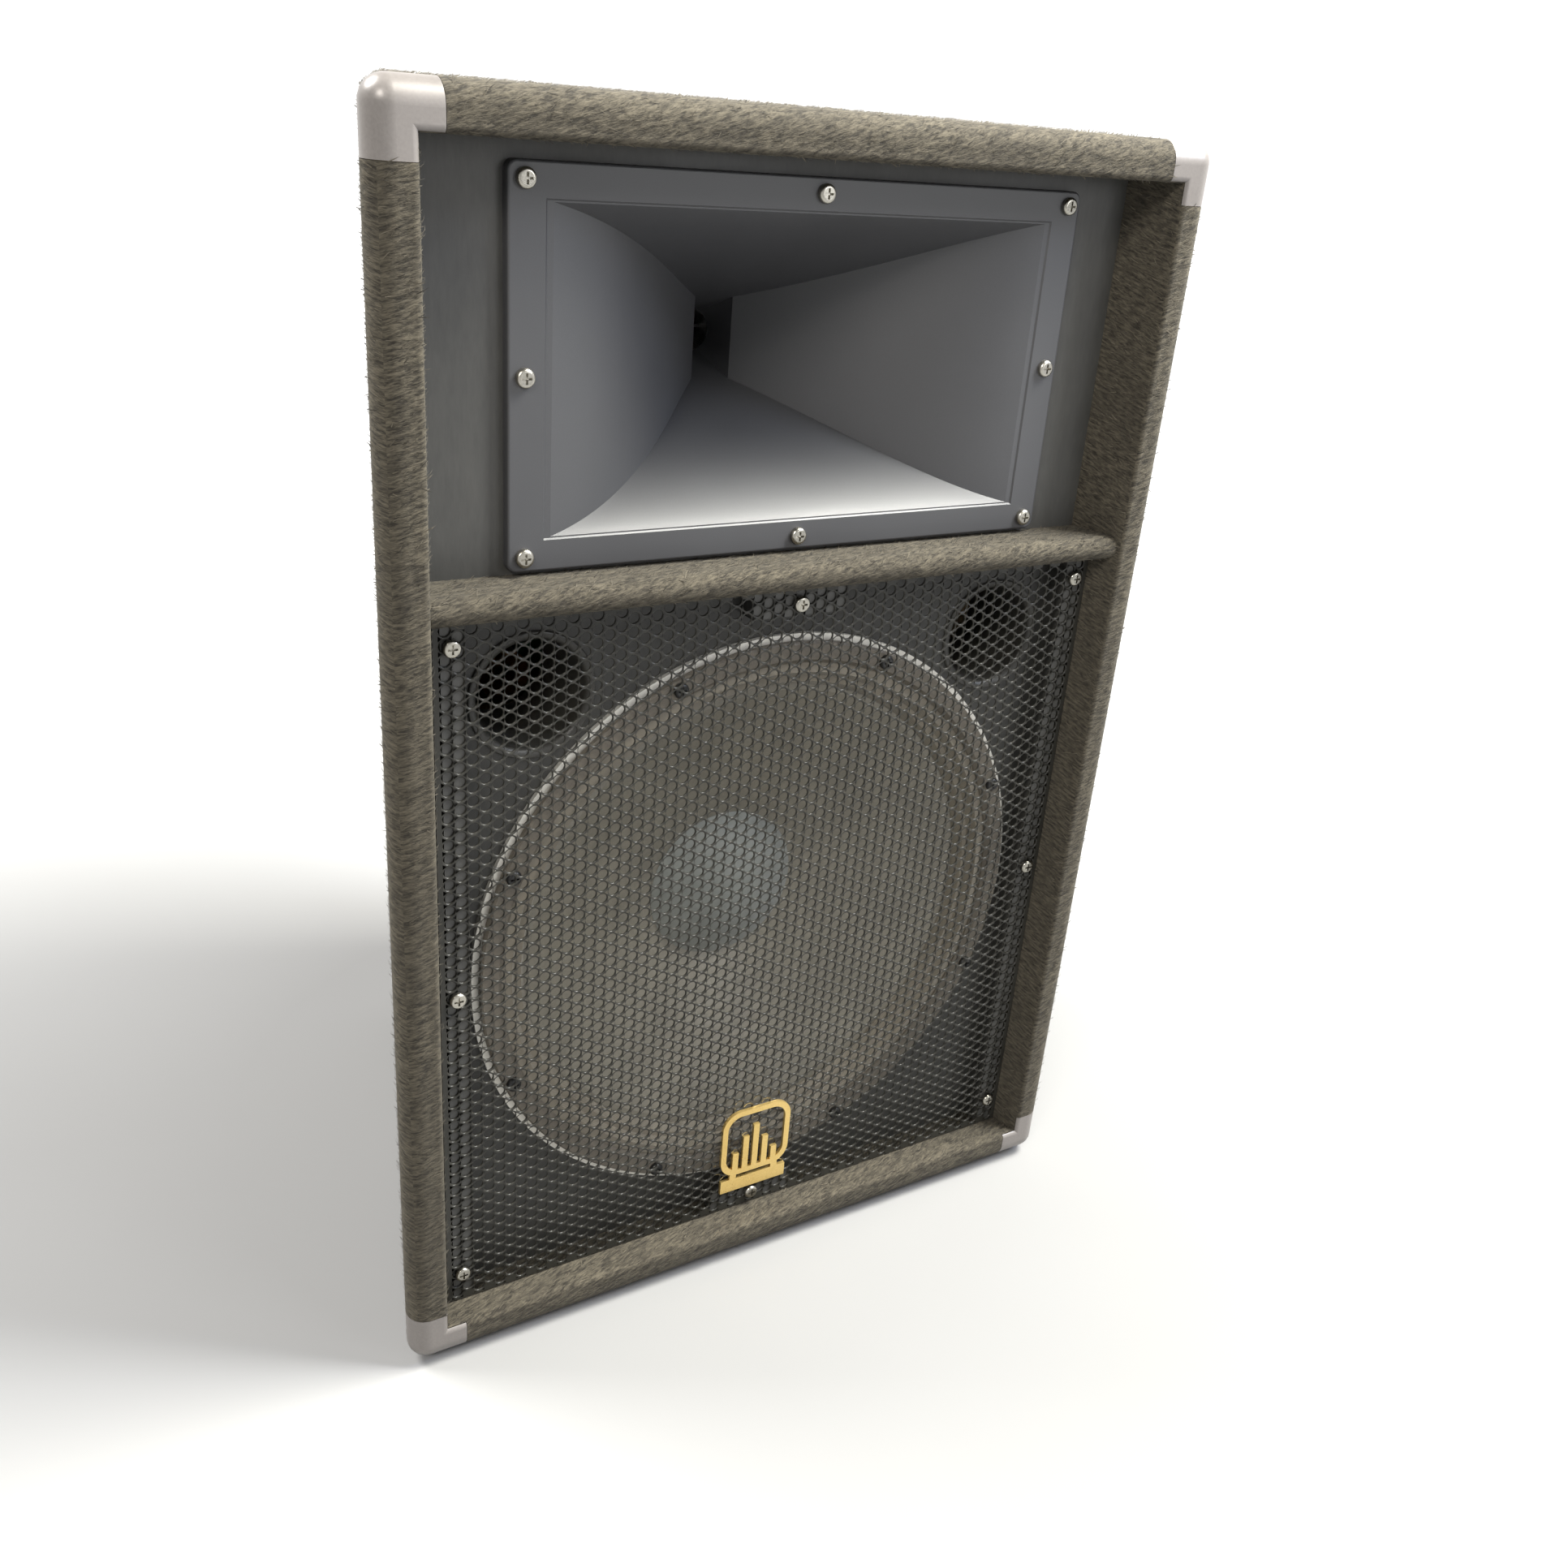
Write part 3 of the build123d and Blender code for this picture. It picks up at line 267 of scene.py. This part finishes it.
MATERIALS = {
    "carpet": carpet(),
    "plywood": plywood(),
    "black_wood": surface("black_painted_wood", (0.024, 0.0235, 0.0215), (0.042, 0.041, 0.037),
                          rough=(0.42, 0.56), grain=400.0, stretch=(1, 1, 0.25), relief=0.00015),
    "corner_grey": surface("corner_plating", (0.125, 0.114, 0.107), (0.170, 0.156, 0.147),
                           rough=(0.32, 0.44), grain=700.0, relief=0.00002, metallic=0.2),
    "foot_rubber": surface("foot_rubber", (0.018, 0.018, 0.018), (0.040, 0.040, 0.040),
                           rough=(0.70, 0.85), grain=900.0),
    "black_steel": surface("black_enamel", (0.012, 0.0115, 0.0095), (0.026, 0.025, 0.021),
                           rough=(0.30, 0.40), grain=900.0, relief=0.00003, specular_ior_level=0.28),
    "handle_black": surface("handle_plastic", (0.014, 0.014, 0.015), (0.032, 0.032, 0.034),
                            rough=(0.45, 0.6), grain=1400.0, relief=0.00008),
    "screw_steel": surface("zinc_screws", (0.26, 0.25, 0.22), (0.46, 0.44, 0.39),
                           rough=(0.20, 0.34), grain=900.0, relief=0.00003, metallic=1.0),
    "screw_black": surface("black_zinc_screws", (0.03, 0.03, 0.03), (0.07, 0.07, 0.07),
                           rough=(0.3, 0.45), grain=900.0, relief=0.00003, metallic=0.8),
    "socket_black": surface("socket_nylon", (0.012, 0.012, 0.014), (0.030, 0.030, 0.033),
                            rough=(0.35, 0.5), grain=900.0),
    "board": surface("circuit_board", (0.020, 0.090, 0.035), (0.050, 0.170, 0.080),
                     rough=(0.3, 0.4), grain=500.0),
    "crossover": surface("lacquered_windings", (0.32, 0.12, 0.04), (0.62, 0.30, 0.12),
                         rough=(0.25, 0.4), grain=800.0, stretch=(1, 1, 6), relief=0.0002),
    "wadding": surface("polyester_wadding", (0.55, 0.54, 0.50), (0.82, 0.81, 0.77),
                       rough=(0.9, 1.0), grain=320.0, relief=0.0012, strength=0.9, sheen_weight=0.3),
    "cast_frame": surface("cast_frame", (0.58, 0.56, 0.51), (0.80, 0.78, 0.72),
                          rough=(0.35, 0.5), grain=500.0, metallic=0.45),
    "cone_paper": cone_paper(woofer_centre),
    "dust_cap": woven("dust_cap_cloth", (0.130, 0.138, 0.126), (0.235, 0.245, 0.225), 0.0011, rough=0.45),
    "treated_cloth": woven("doped_surround", (0.125, 0.110, 0.083), (0.250, 0.220, 0.168), 0.0012,
                           rough=0.42),
    "spider_cloth": woven("spider_cloth", (0.38, 0.24, 0.06), (0.66, 0.45, 0.15), 0.0014),
    "gasket": surface("pressed_gasket", (0.085, 0.074, 0.058), (0.150, 0.132, 0.105),
                      rough=(0.5, 0.65), grain=600.0, relief=0.0002),
    "copper": rings("copper_winding", (0.60, 0.28, 0.13), (0.86, 0.46, 0.25), woofer_centre, 0.0004,
                    rough=0.3, metallic=0.9),
    "ferrite": surface("ferrite_ceramic", (0.030, 0.030, 0.033), (0.070, 0.070, 0.075),
                       rough=(0.6, 0.8), grain=500.0),
    "plate_steel": rings("turned_steel", (0.42, 0.42, 0.40), (0.66, 0.65, 0.62), woofer_centre, 0.0009,
                         rough=0.35, metallic=1.0, relief=0.00004),
    "terminal": surface("terminal_plastic", (0.24, 0.02, 0.015), (0.42, 0.05, 0.04),
                        rough=(0.4, 0.5), grain=600.0),
    "horn_black": surface("horn_plastic", (0.025, 0.0252, 0.0275), (0.038, 0.0385, 0.0415),
                          rough=(0.47, 0.53), grain=1600.0, relief=0.00003, strength=0.3, patch=6.0,
                          specular_ior_level=0.62),
    "phase_plug": surface("phase_plug_plastic", (0.012, 0.012, 0.012), (0.026, 0.026, 0.026),
                          rough=(0.4, 0.5), grain=800.0),
    "titanium": surface("titanium_foil", (0.42, 0.40, 0.37), (0.66, 0.64, 0.60),
                        rough=(0.25, 0.4), grain=300.0, metallic=1.0),
    "port_black": surface("port_plastic", (0.024, 0.023, 0.020), (0.050, 0.048, 0.042),
                          rough=(0.34, 0.46), grain=900.0),
    "badge_gold": surface("badge_gold", (0.60, 0.40, 0.12), (0.86, 0.64, 0.26),
                          rough=(0.22, 0.34), grain=1200.0, relief=0.00002, metallic=0.9),
    "lead_black": surface("lead_sheath", (0.020, 0.020, 0.020), (0.055, 0.055, 0.055),
                          rough=(0.45, 0.6), grain=900.0),
}

for name, piece in nodes.items():
    piece.data.materials.clear()
    piece.data.materials.append(MATERIALS[slot_of[name]])

# ---------------------------------------------------------------- mesh helpers


def add_object(name, data):
    """An object in the scene that holds a mesh, a light or a camera."""
    made = bpy.data.objects.new(name, data)
    bpy.context.scene.collection.objects.link(made)
    return made


def add_mesh(name, vertices, faces, material, smooth=False):
    """A mesh object from plain arrays."""
    mesh = bpy.data.meshes.new(name)
    mesh.from_pydata(vertices, [], faces)
    mesh.materials.append(material)
    if smooth:
        mesh.shade_smooth()
    return add_object(name, mesh)


# ---------------------------------------------------------------- grille

HOLE_PITCH = 0.008
HOLE_STAGGER = math.radians(60)
HOLE_RADIUS = 0.00315
HOLE_SIDES = 10
HOLE_LIP = 0.00042  # rounding of each hole's front edge
GRILLE_BORDER = 0.001


def perforated_sheet(low, high):
    """Vertices and faces of an upright sheet with staggered round holes in straight columns."""
    step_x = HOLE_PITCH * math.sin(HOLE_STAGGER)
    columns = int((high.x - low.x - 2 * GRILLE_BORDER) // step_x)
    rows = int((high.z - low.z - 2 * GRILLE_BORDER) // HOLE_PITCH)
    middle_x, middle_z = (low.x + high.x) / 2, (low.z + high.z) / 2
    left, right = middle_x - columns * step_x / 2, middle_x + columns * step_x / 2
    bottom, top = middle_z - rows * HOLE_PITCH / 2, middle_z + rows * HOLE_PITCH / 2
    turn = np.arange(HOLE_SIDES) * math.tau / HOLE_SIDES
    ring = np.stack([np.cos(turn), np.sin(turn)], 1)
    reach = np.array([step_x / 2, HOLE_PITCH / 2])
    outline = ring * (1 / np.abs(ring / reach).max(1))[:, None]
    vertices, faces = [], []

    def quad(x0, x1, z0, z1):
        faces.append([len(vertices) + i for i in range(4)])
        vertices.extend([(x0, low.y, z0), (x1, low.y, z0), (x1, low.y, z1), (x0, low.y, z1)])

    for column in range(columns):
        shift = HOLE_PITCH / 2 if column % 2 else 0.0
        centre_x = left + (column + 0.5) * step_x
        for row in range(rows - (1 if shift else 0)):
            centre = np.array([centre_x, bottom + shift + (row + 0.5) * HOLE_PITCH])
            first = len(vertices)
            for edge, y in ((outline, low.y), (ring * (HOLE_RADIUS + HOLE_LIP), low.y),
                            (ring * HOLE_RADIUS, low.y + HOLE_LIP), (ring * HOLE_RADIUS, high.y)):
                vertices.extend((centre[0] + x, y, centre[1] + z) for x, z in edge)
            for i in range(HOLE_SIDES):
                j = (i + 1) % HOLE_SIDES
                for level in (0, HOLE_SIDES, 2 * HOLE_SIDES):
                    faces.append([first + level + i, first + level + j,
                                  first + level + HOLE_SIDES + j, first + level + HOLE_SIDES + i])
        if shift:
            quad(centre_x - step_x / 2, centre_x + step_x / 2, bottom, bottom + shift)
            quad(centre_x - step_x / 2, centre_x + step_x / 2, top - shift, top)
    quad(low.x, high.x, low.z, bottom)
    quad(low.x, high.x, top, high.z)
    quad(low.x, left, bottom, top)
    quad(right, high.x, bottom, top)
    return vertices, faces


grille = add_mesh("grille_perforated", *perforated_sheet(*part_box("grille")), MATERIALS["black_steel"],
                  smooth=True)
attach(grille, "cabinet")
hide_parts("grille")

# ---------------------------------------------------------------- carpet

PILE_ANGLE = math.radians(19)
PILE_PLANE_GAP = 7.3  # keeps the noise of the three main planes apart
FIBRE_COUNT = 110000
FIBRE_SHARE = {"carpet_wrap_felt": 0.80, "carpet_back_felt": 0.14, "carpet_divider_felt": 0.06}
FIBRE_TURN = 0.36
FIBRE_LENGTH = (0.0026, 0.0065)
FIBRE_HALF_WIDTH = (0.00012, 0.00027)
FIBRE_LIFT = (0.05, 0.26)
FIBRE_MIDDLE = 0.55
FIBRE_TAPER = 0.8
TIP_LIFT = (0.4, 1.3)
FIBRE_SHADES = (1.6, 2.2)
PROBE_LIFT = 0.0003
BACKING_GAP = 0.0016  # only the carpet's outer faces are this far from the wood
BACKING = ["top_panel", "bottom_panel", "left_side_panel", "right_side_panel", "back_panel", "divider_bar",
           "baffle"]
ALONG = np.array([
    (0.0, math.cos(PILE_ANGLE), math.sin(PILE_ANGLE)),
    (math.cos(PILE_ANGLE), 0.0, math.sin(PILE_ANGLE)),
    (math.cos(PILE_ANGLE), math.sin(PILE_ANGLE), 0.0),
])


def pile_directions(normals):
    """For each normal, the comb direction in the nearest main plane, and that plane's number."""
    main = np.abs(normals).argmax(1)
    return ALONG[main], main


def carpet_piece(source):
    """A copy of a carpet solid that holds, at each corner of each face, where it lies in the pile."""
    mesh = nodes[source].data.copy()
    corner_vertex = np.zeros(len(mesh.loops), int)
    mesh.loops.foreach_get("vertex_index", corner_vertex)
    points = np.zeros(len(mesh.vertices) * 3)
    mesh.vertices.foreach_get("co", points)
    points = points.reshape(-1, 3)[corner_vertex]
    normals = np.array([face.normal[:] for face in mesh.polygons])
    counts = np.array([face.loop_total for face in mesh.polygons])
    along, main = pile_directions(np.repeat(normals, counts, axis=0))
    across = np.cross(np.eye(3)[main], along)
    place = np.stack([(points * along).sum(1), (points * across).sum(1), main * PILE_PLANE_GAP], 1)
    pile = mesh.attributes.new("pile", "FLOAT_VECTOR", "CORNER")
    pile.data.foreach_set("vector", place.astype(np.float32).ravel())
    piece = add_object(source + "_felt", mesh)
    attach(piece, "cabinet")
    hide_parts(source)
    return piece


def tree_of(names):
    """One search tree over several CAD nodes."""
    points, triangles = [], []
    for name in names:
        mesh = nodes[name].data
        first = len(points)
        points.extend(vertex.co[:] for vertex in mesh.vertices)
        triangles.extend([first + i for i in face.vertices] for face in mesh.polygons)
    return BVHTree.FromPolygons(points, triangles)


def scatter(mesh, count):
    """Random points on a mesh, evenly by area, with their normals."""
    mesh.calc_loop_triangles()
    corners = np.array([[mesh.vertices[i].co[:] for i in t.vertices] for t in mesh.loop_triangles])
    cross = np.cross(corners[:, 1] - corners[:, 0], corners[:, 2] - corners[:, 0])
    area = np.linalg.norm(cross, axis=1)
    pick = random.choice(len(area), count, p=area / area.sum())
    a, b = np.sqrt(random.random(count)), random.random(count)
    weights = np.stack([1 - a, a * (1 - b), a * b], 1)
    return (corners[pick] * weights[:, :, None]).sum(1), cross[pick] / area[pick][:, None]


def carpet_pile(pieces, count):
    """Loose fibres that lie over the outer faces of the carpet, combed one way."""
    backing = tree_of(BACKING)
    roots, normals = [], []
    for piece in pieces:
        points, facing = scatter(piece.data, int(count * FIBRE_SHARE[piece.name]))
        outside = [backing.find_nearest(Vector(p + PROBE_LIFT * n))[3] > BACKING_GAP
                   for p, n in zip(points, facing)]
        roots.append(points[outside])
        normals.append(facing[outside])
    roots, normals = np.concatenate(roots), np.concatenate(normals)
    along = pile_directions(normals)[0]
    along -= normals * (along * normals).sum(1)[:, None]
    along /= np.linalg.norm(along, axis=1)[:, None]
    across = np.cross(normals, along)
    total = len(roots)
    turn = random.normal(0, FIBRE_TURN, total)[:, None]
    heading = along * np.cos(turn) + across * np.sin(turn)
    beside = np.cross(normals, heading)
    length = random.uniform(*FIBRE_LENGTH, total)[:, None]
    width = random.uniform(*FIBRE_HALF_WIDTH, total)[:, None]
    lift = random.uniform(*FIBRE_LIFT, total)[:, None]
    middle = roots + heading * length * FIBRE_MIDDLE + normals * length * lift
    tip = roots + heading * length + normals * length * lift * random.uniform(*TIP_LIFT, total)[:, None]
    outline = [roots - beside * width, roots + beside * width, middle + beside * width * FIBRE_TAPER,
               middle - beside * width * FIBRE_TAPER, tip]
    vertices = np.stack(outline, 1).reshape(-1, 3)
    first = np.arange(total)[:, None] * len(outline)
    stems, tips = (first + [0, 1, 2, 3]).tolist(), (first + [3, 2, 4]).tolist()
    faces = [face for pair in zip(stems, tips) for face in pair]
    fibres = add_mesh("carpet_pile", vertices.tolist(), faces, pile_fibre())
    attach(fibres, "cabinet")
    shade = fibres.data.attributes.new("shade", "FLOAT", "POINT")
    shades = np.repeat(random.beta(*FIBRE_SHADES, total), len(outline))
    shade.data.foreach_set("value", shades.astype(np.float32))


carpets = [carpet_piece(source) for source in ("carpet_wrap", "carpet_back", "carpet_divider")]
carpet_pile(carpets, FIBRE_COUNT)

# ---------------------------------------------------------------- woofer's surround and spider

SPIDER_INNER = 0.033
SPIDER_FLAT = 0.010
SPIDER_WAVES = 5
SPIDER_WAVE_HEIGHT = 0.003
SPIDER_THICKNESS = 0.0006
SPIDER_SECTORS = 12
SPIDER_SECTOR_STEPS = 8


def surround_piece():
    """A copy of the surround mesh that stands in for the CAD node."""
    piece = add_object("woofer_surround_cloth", nodes["woofer_surround"].data.copy())
    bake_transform(piece)
    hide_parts("woofer_surround")


def spider_outline(outer, rim):
    """Front edge of the corrugated section from the voice coil to the glued flat, as radius and depth."""
    roll = (outer - SPIDER_FLAT - SPIDER_INNER) / (2 * SPIDER_WAVES)
    crests = [(SPIDER_INNER + i * roll, rim - SPIDER_WAVE_HEIGHT * (i % 2))
              for i in range(2 * SPIDER_WAVES + 1)]
    return crests + [(outer, rim)]


def spider_sector(number):
    """One wedge of the corrugated spider, from the voice coil out to the glued flat along its own radius."""
    low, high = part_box("woofer_spider")
    middle = (low + high) / 2
    front = spider_outline((high.x - low.x) / 2, high.y - SPIDER_THICKNESS)
    line = front + [(r, y + SPIDER_THICKNESS) for r, y in reversed(front)]
    count = len(line)
    turns = [math.tau * (number + k / SPIDER_SECTOR_STEPS) / SPIDER_SECTORS
             for k in range(SPIDER_SECTOR_STEPS + 1)]
    vertices = [(middle.x + r * math.cos(turn), y, middle.z + r * math.sin(turn))
                for turn in turns for r, y in line]
    faces = []
    for first in range(0, SPIDER_SECTOR_STEPS * count, count):
        for i in range(count):
            j = (i + 1) % count
            faces.append([first + i, first + j, first + count + j, first + count + i])
    last = len(vertices) - count
    for i in range(len(front) - 1):
        strip = [i, count - 1 - i, count - 2 - i, i + 1]
        faces += [strip, [last + j for j in reversed(strip)]]
    piece = add_mesh("woofer_spider_cloth_%02d" % number, vertices, faces, MATERIALS["spider_cloth"])
    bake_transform(piece)
    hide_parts("woofer_spider")


surround_piece()
for number in range(SPIDER_SECTORS):
    spider_sector(number)

# ---------------------------------------------------------------- floor, lights and camera

STUDIO_FLOOR_RADIUS = 2.6
STUDIO_CURVE = 0.8
STUDIO_CURVE_STEPS = 12
STUDIO_HEIGHT = 4.0
STUDIO_SIDES = 96
STUDIO_CENTRE = 0.001
STUDIO_TINTS = ((0.200, 0.200, 0.200), (0.215, 0.215, 0.215))
BACKDROP_SIDE = (0.54, 0.84, 0.0)
BACKDROP_TURN = (-0.3, 0.5)  # cosines to that side between which the glow rises
BACKDROP_GLOW = (0.35, 1.0)
GLOW_DISTANCE = (0.3, 1.9)
WORLD_GLOW = 0.06

SENSOR_WIDTH = 36.0
LENS = 33.48
CAMERA_PLACE = (-0.4312, -0.8443, 0.7120)
CAMERA_FORWARD = (0.49329, 0.76145, -0.42054)
CAMERA_UP = (0.15501, 0.39876, 0.90386)


def studio_material():
    """Pale paper that glows like a lit backdrop: more with distance, and most on the backdrop's side."""
    material, tree, shader = new_material("studio_paper", roughness=0.9, specular_ior_level=0.1,
                                          emission_color=(1, 1, 1, 1))
    vector = place_vector(tree)
    tint = blend_colour(tree, noise(tree, vector, 3.0), *STUDIO_TINTS)
    tree.links.new(tint, shader.inputs["Base Color"])
    flat = add_node(tree, "ShaderNodeVectorMath", {0: vector, 1: (1, 1, 0)}, operation="MULTIPLY").outputs[0]
    heading = add_node(tree, "ShaderNodeVectorMath", {0: flat}, operation="NORMALIZE").outputs[0]
    behind = add_node(tree, "ShaderNodeVectorMath", {0: heading, 1: BACKDROP_SIDE}, operation="DOT_PRODUCT")
    distance = add_node(tree, "ShaderNodeVectorMath", {0: flat}, operation="LENGTH").outputs["Value"]
    share = span(tree, behind.outputs["Value"], *BACKDROP_GLOW, *BACKDROP_TURN)
    glow = combine(tree, "MULTIPLY", share, span(tree, distance, 0.0, 1.0, *GLOW_DISTANCE))
    tree.links.new(glow, shader.inputs["Emission Strength"])
    return material


def studio():
    """Round pale floor that curves up into a wall all round."""
    line = [(STUDIO_CENTRE, 0.0), (STUDIO_FLOOR_RADIUS, 0.0)]
    for step in range(1, STUDIO_CURVE_STEPS + 1):
        angle = math.pi / 2 * step / STUDIO_CURVE_STEPS
        line.append((STUDIO_FLOOR_RADIUS + STUDIO_CURVE * math.sin(angle),
                     STUDIO_CURVE * (1 - math.cos(angle))))
    line.append((STUDIO_FLOOR_RADIUS + STUDIO_CURVE, STUDIO_HEIGHT))
    turns = [math.tau * i / STUDIO_SIDES for i in range(STUDIO_SIDES)]
    vertices = [(r * math.cos(turn), r * math.sin(turn), z) for r, z in line for turn in turns]
    faces = []
    for first in range(0, (len(line) - 1) * STUDIO_SIDES, STUDIO_SIDES):
        for i in range(STUDIO_SIDES):
            j = (i + 1) % STUDIO_SIDES
            faces.append((first + i, first + j, first + STUDIO_SIDES + j, first + STUDIO_SIDES + i))
    add_mesh("studio", vertices, faces, studio_material(), smooth=True)


studio()

world = bpy.data.worlds.new("studio")
world.use_nodes = True
background = world.node_tree.nodes["Background"]
background.inputs["Color"].default_value = (1, 1, 1, 1)
background.inputs["Strength"].default_value = WORLD_GLOW
bpy.context.scene.world = world


def soft_light(name, place, target, size, power, colour):
    """A square soft box aimed at a point."""
    lamp = bpy.data.lights.new(name, "AREA")
    lamp.shape, lamp.size, lamp.energy, lamp.color = "SQUARE", size, power, colour
    stand = add_object(name, lamp)
    stand.location = place
    stand.rotation_euler = (Vector(target) - Vector(place)).to_track_quat("-Z", "Y").to_euler()


soft_light("ceiling_light", place=(1.1, -0.6, 2.2), target=(0, 0, 0.5), size=0.9, power=225,
           colour=(1.0, 0.985, 0.91))
soft_light("rear_light", place=(-1.3, 0.9, 2.3), target=(-0.3, 0.2, 0.2), size=1.0, power=130,
           colour=(1.0, 0.99, 0.96))
soft_light("right_light", place=(2.0, -1.5, 2.2), target=(0, 0, 0.4), size=0.7, power=62,
           colour=(0.74, 0.82, 1.0))
soft_light("front_light", place=(1.2, -2.3, 1.1), target=(0, 0, 0.35), size=0.8, power=13,
           colour=(0.97, 0.98, 1.0))
soft_light("left_light", place=(-1.8, -1.7, 2.2), target=(0, 0, 0.3), size=0.7, power=62,
           colour=(1.0, 0.96, 0.90))

lens = bpy.data.cameras.new("camera")
lens.sensor_width = SENSOR_WIDTH
lens.lens = LENS
camera = add_object("camera", lens)
forward = Vector(CAMERA_FORWARD).normalized()
right = forward.cross(Vector(CAMERA_UP)).normalized()
up = right.cross(forward)
facing = Matrix((right, up, -forward)).transposed().to_4x4()
camera.matrix_world = Matrix.Translation(CAMERA_PLACE) @ facing
bpy.context.scene.camera = camera

bpy.context.scene.view_settings.view_transform = "Standard"
